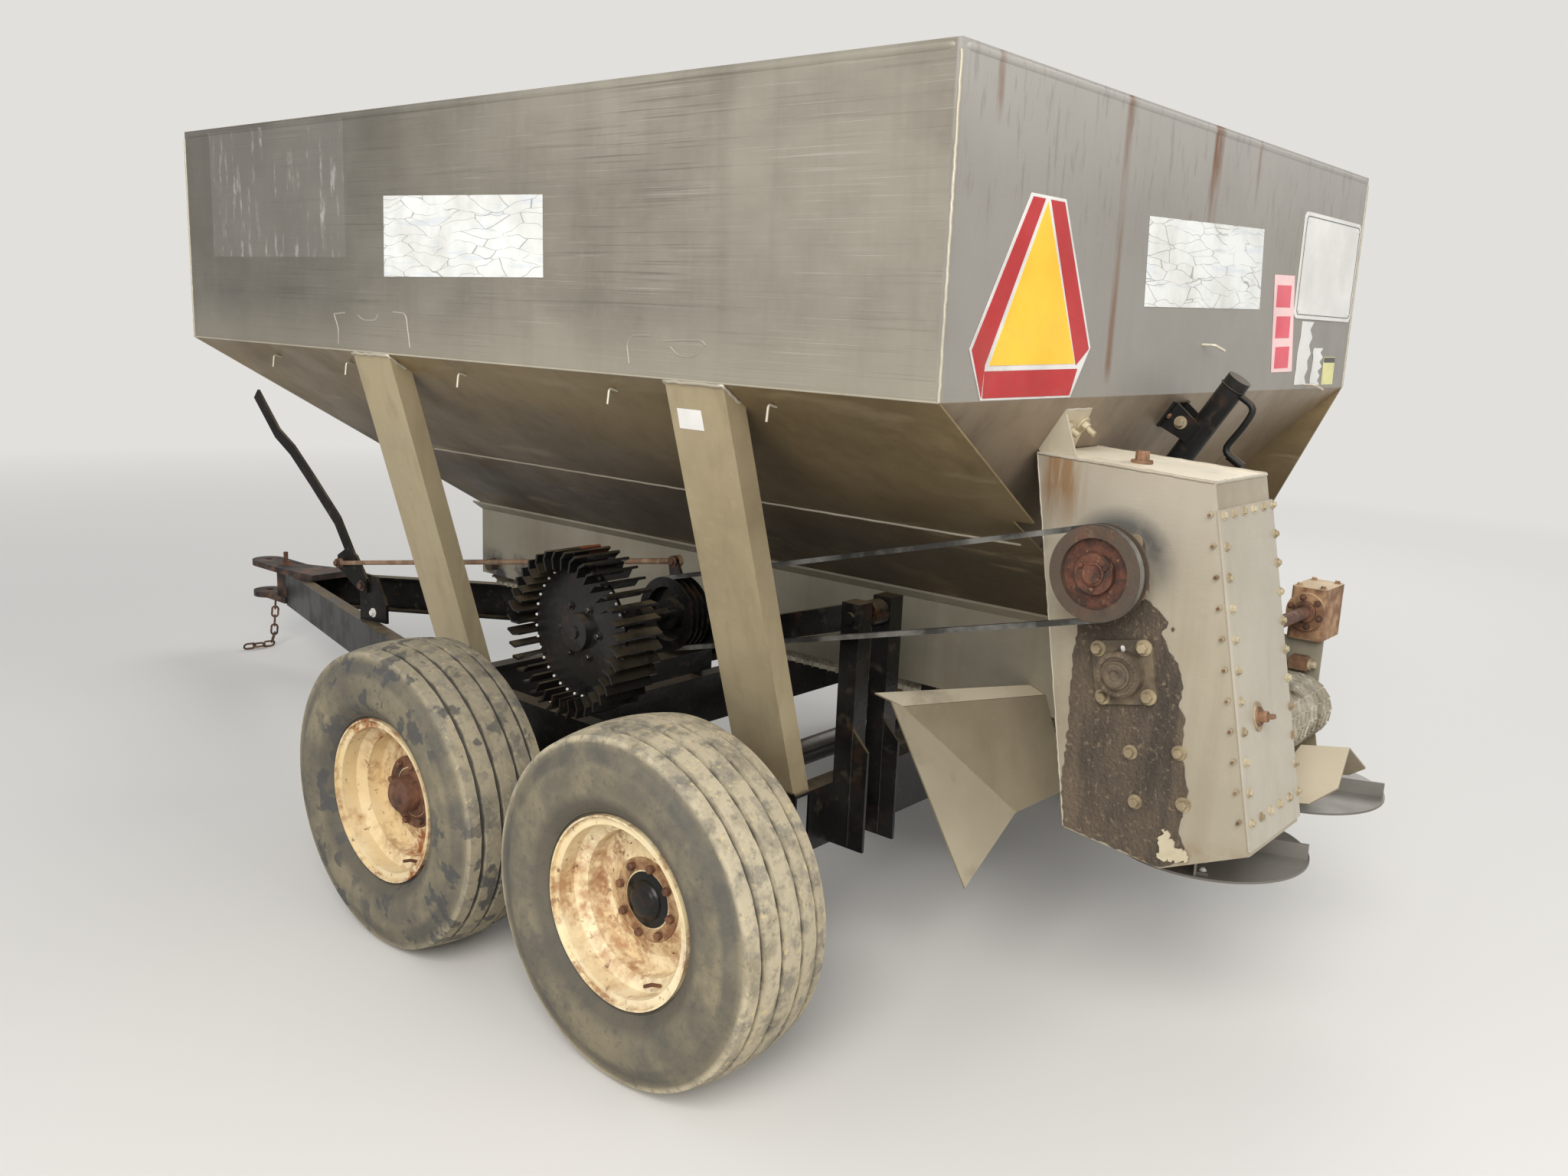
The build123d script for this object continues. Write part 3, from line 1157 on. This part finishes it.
# Feed gate with the lug and screw rod of its jack
gate_foot = (BEND_Z - GATE_FOOT_Z) * rear_slope_length / (BEND_Z - SLOPE_FOOT_Z)
gate_top = gate_foot - GATE_HEIGHT
gate_outer = GATE_GAP + GATE_SHEET
jack_bottom = gate_top - JACK_LENGTH
with BuildPart() as feed_gate:
    slope_bar(
        -GATE_HALF_WIDTH,
        GATE_HALF_WIDTH,
        (gate_top, GATE_GAP),
        (gate_foot, GATE_GAP),
        (gate_foot, gate_outer),
        (gate_top, gate_outer),
    )
    slope_bar(
        JACK_X - LUG_HALF_WIDTH,
        JACK_X + LUG_HALF_WIDTH,
        (gate_top, gate_outer),
        (gate_top + LUG_HEIGHT, gate_outer),
        (gate_top + LUG_HEIGHT, JACK_STANDOFF + LUG_BEYOND_ROD),
        (gate_top, JACK_STANDOFF + LUG_BEYOND_ROD),
    )
    slope_rod(JACK_ROD_R, jack_bottom - JACK_ROD_IN_TUBE, gate_top + 10, JACK_STANDOFF)
save(feed_gate, "feed_gate")

# Guides on the rear slope that hold the gate's two edges with a running gap
guide_top = gate_top - GUIDE_LENGTH
guide_foot = rear_slope_length - 2 * SHEET
guide_x = SILL_X - SILL_SHEET
lip_in, lip_out = gate_outer + GUIDE_GAP, gate_outer + GATE_SHEET
with BuildPart() as gate_guides:
    for sx in (-1, 1):
        for inner_x, back in (
            (GATE_HALF_WIDTH + GUIDE_GAP, 0),
            (GATE_HALF_WIDTH - GUIDE_LIP, lip_in),
        ):
            slope_bar(
                sx * inner_x,
                sx * guide_x,
                (guide_top, back),
                (guide_foot, back),
                (guide_foot, lip_out),
                (guide_top, lip_out),
            )
save(gate_guides, "gate_guides")

# Jack tube between the two ears of a bracket on the rear slope
with BuildPart() as gate_jack:
    slope_rod(JACK_R, JACK_TOP, jack_bottom, JACK_STANDOFF)
    for sx in (-1, 1):
        ear_x = JACK_X + sx * (JACK_R + 2)
        slope_bar(ear_x - sx * JACK_BRACKET_SHEET, ear_x, *JACK_BRACKET)
    slope_bar(
        JACK_X - JACK_R - JACK_BASE_LIP,
        JACK_X + JACK_R + JACK_BASE_LIP,
        JACK_BRACKET[0],
        JACK_BRACKET[1],
        (JACK_BRACKET[1][0], JACK_BRACKET_SHEET),
        (JACK_BRACKET[0][0], JACK_BRACKET_SHEET),
    )
    jack_bore_top = JACK_TOP + JACK_HEAD
    slope_rod(JACK_R - JACK_WALL, jack_bore_top, jack_bottom, JACK_STANDOFF, mode=Mode.SUBTRACT)
save(gate_jack, "gate_jack")

# Jack crank: shaft, arm and hand grip
crank_axis = Vector(0, SLOPE_FOOT_Z - BEND_Z, -REAR_SLOPE_RUN)
with BuildPart() as gate_crank:
    for along, start, end in (
        (CRANK_TOP, JACK_STANDOFF + JACK_R, CRANK_OUT + CRANK_ARM + 1),
        (CRANK_GRIP, CRANK_OUT - 1, CRANK_OUT - 1 + CRANK_GRIP_LENGTH),
    ):
        with BuildSketch(Plane(origin=(JACK_X, *on_rear_slope(along, start)), z_dir=crank_axis)):
            Circle(CRANK_R)
        extrude(amount=end - start)
    slope_bar(
        JACK_X - CRANK_ARM_SHEET / 2,
        JACK_X + CRANK_ARM_SHEET / 2,
        (CRANK_TOP - CRANK_ARM_END, CRANK_OUT),
        (CRANK_GRIP + CRANK_ARM_END, CRANK_OUT),
        (CRANK_GRIP + CRANK_ARM_END, CRANK_OUT + CRANK_ARM),
        (CRANK_TOP - CRANK_ARM_END, CRANK_OUT + CRANK_ARM),
    )
save(gate_crank, "gate_crank")

# Axle tube across the frame, with the saddle blocks under the rails and end collars
with BuildPart() as axle_tube:
    with BuildSketch(Plane.YZ):
        with Locations((PIVOT_Y, AXLE_Z)):
            Circle(AXLE_R)
    extrude(amount=BEAM_OUTER_X + AXLE_PROUD, both=True)
    for saddle_x in (-RAIL_X, RAIL_X - CHANNEL_FLANGE):
        with BuildSketch(Plane.YZ.offset(saddle_x)):
            with Locations((PIVOT_Y, AXLE_Z)):
                Rectangle(SADDLE_LENGTH, AXLE_R, align=(Align.CENTER, Align.MIN))
        extrude(amount=CHANNEL_FLANGE)
    for sx in (-1, 1):
        with BuildSketch(Plane.YZ.offset(sx * (BEAM_OUTER_X + COLLAR_PLAY))):
            with Locations((PIVOT_Y, AXLE_Z)):
                Circle(AXLE_R + COLLAR)
        extrude(amount=sx * COLLAR_WIDTH)
save(axle_tube, "axle_tube")

# Walking beams: closed box tubes with a wheel spindle near each end
beam_mid_x = (BEAM_INNER_X + BEAM_OUTER_X) / 2
beam_mid_z = (BEAM_TOP_Z + BEAM_BOTTOM_Z) / 2
beam_length = FRONT_WHEEL_Y - REAR_WHEEL_Y + 2 * BEAM_END
for side, sx in SIDES:
    with BuildPart() as walking_beam:
        with BuildSketch(Plane.XZ.offset(-PIVOT_Y)):
            with Locations((sx * beam_mid_x, beam_mid_z)):
                Rectangle(BEAM_OUTER_X - BEAM_INNER_X, BEAM_TOP_Z - BEAM_BOTTOM_Z)
        extrude(amount=beam_length / 2, both=True)
        with BuildSketch(Plane.XZ.offset(-PIVOT_Y)):
            with Locations((sx * beam_mid_x, beam_mid_z)):
                Rectangle(
                    BEAM_OUTER_X - BEAM_INNER_X - 2 * BEAM_WALL,
                    BEAM_TOP_Z - BEAM_BOTTOM_Z - 2 * BEAM_WALL,
                )
        extrude(amount=beam_length / 2 - BEAM_WALL, both=True, mode=Mode.SUBTRACT)
        boss_in, boss_out = PIVOT_BOSS_PROUD
        with BuildSketch(Plane.YZ.offset(sx * (BEAM_INNER_X - boss_in))):
            with Locations((PIVOT_Y, AXLE_Z)):
                Circle(AXLE_R + COLLAR)
        extrude(amount=sx * (BEAM_OUTER_X - BEAM_INNER_X + boss_in + boss_out))
        for wheel_y in (REAR_WHEEL_Y, FRONT_WHEEL_Y):
            for radius, start, end in (
                (SPINDLE_R + SPINDLE_BOSS, BEAM_INNER_X + BEAM_WALL, WHEEL_X - HUB_INNER - 10),
                (SPINDLE_R - RUNNING_GAP, BEAM_OUTER_X, WHEEL_X + 5),
            ):
                with BuildSketch(Plane.YZ.offset(sx * start)):
                    with Locations((wheel_y, TYRE_R)):
                        Circle(radius)
                extrude(amount=sx * (end - start))
        with BuildSketch(Plane.YZ):
            with Locations((PIVOT_Y, AXLE_Z)):
                Circle(AXLE_R + SEAT_GAP)
        extrude(amount=sx * WHEEL_X, mode=Mode.SUBTRACT)
    save(walking_beam, f"walking_beam_{side}")

# Wheels: each rim with its dished disc and bored hub is one turned piece, and the tyre
# another. The front hub caps stand further out than the rear ones.
rim_half_section = [
    (0, WELL_R),
    (45, WELL_R),
    (62, RIM_R),
    (RIM_HALF_WIDTH, RIM_R),
    (RIM_HALF_WIDTH, RIM_FLANGE_R),
    (RIM_HALF_WIDTH + RIM_LIP, RIM_FLANGE_R),
    (RIM_HALF_WIDTH + RIM_LIP, RIM_FLANGE_R - RIM_SHEET),
    (RIM_HALF_WIDTH + RIM_SHEET, RIM_FLANGE_R - RIM_SHEET),
    (RIM_HALF_WIDTH + RIM_SHEET, RIM_R - RIM_SHEET),
    (64, RIM_R - RIM_SHEET),
    (47, WELL_R - RIM_SHEET),
    (0, WELL_R - RIM_SHEET),
]
rim_section = rim_half_section + [(-a, r) for a, r in reversed(rim_half_section[1:-1])]
disc_section = [
    (14, 40),
    (20, 40),
    (20, 95),
    (4, 130),
    (4, WELL_R - 1),
    (-3, WELL_R - 1),
    (-3, 128),
    (13, 93),
]
shoulder_x, shoulder_r = SHOULDER
for place, wheel_y, cap_out in (("rear", REAR_WHEEL_Y, 38), ("front", FRONT_WHEEL_Y, 70)):
    for side, sx in SIDES:
        wheel_plane = Plane(origin=(sx * WHEEL_X, wheel_y, TYRE_R), x_dir=(sx, 0, 0), z_dir=(0, -sx, 0))
        wheel_axis = Axis((sx * WHEEL_X, wheel_y, TYRE_R), (1, 0, 0))
        hub_section = [
            (-HUB_INNER, SPINDLE_R),
            (-HUB_INNER, HUB_R),
            (2, HUB_R),
            (2, HUB_FLANGE_R),
            (14, HUB_FLANGE_R),
            (14, HUB_R),
            (cap_out - 4, 34),
            (cap_out, 28),
            (cap_out, 0),
            (10, 0),
            (10, SPINDLE_R),
        ]
        with BuildPart() as wheel:
            with BuildSketch(wheel_plane):
                for section in (rim_section, disc_section, hub_section):
                    with BuildLine():
                        Polyline(*section, close=True)
                    make_face()
            revolve(axis=wheel_axis)
        save(wheel, f"wheel_{place}_{side}")

        with BuildPart() as tyre:
            with BuildSketch(wheel_plane):
                with BuildLine():
                    for edge_side in (-1, 1):
                        Polyline(
                            (edge_side * (RIM_HALF_WIDTH - TYRE_BEAD), RIM_FLANGE_R - 2),
                            (edge_side * (RIM_HALF_WIDTH - TYRE_BEAD - 6), RIM_R),
                            (edge_side * RIM_HALF_WIDTH, RIM_R),
                            (edge_side * RIM_HALF_WIDTH, RIM_FLANGE_R + 2),
                        )
                        ThreePointArc(
                            (edge_side * RIM_HALF_WIDTH, RIM_FLANGE_R + 2),
                            (edge_side * TYRE_HALF_WIDTH, TYRE_WIDEST_R),
                            (edge_side * shoulder_x, shoulder_r),
                        )
                        ThreePointArc(
                            (edge_side * (RIM_HALF_WIDTH - TYRE_BEAD), RIM_FLANGE_R - 2),
                            (edge_side * (TYRE_HALF_WIDTH - TYRE_WALL), TYRE_WIDEST_R),
                            (edge_side * (shoulder_x - TYRE_WALL), shoulder_r - TYRE_TREAD),
                        )
                    for inset, drop in ((0, 0), (TYRE_WALL, TYRE_TREAD)):
                        ThreePointArc(
                            (inset - shoulder_x, shoulder_r - drop),
                            (0, TYRE_R - drop),
                            (shoulder_x - inset, shoulder_r - drop),
                        )
                make_face()
            revolve(axis=wheel_axis)
        save(tyre, f"tyre_{place}_{side}")
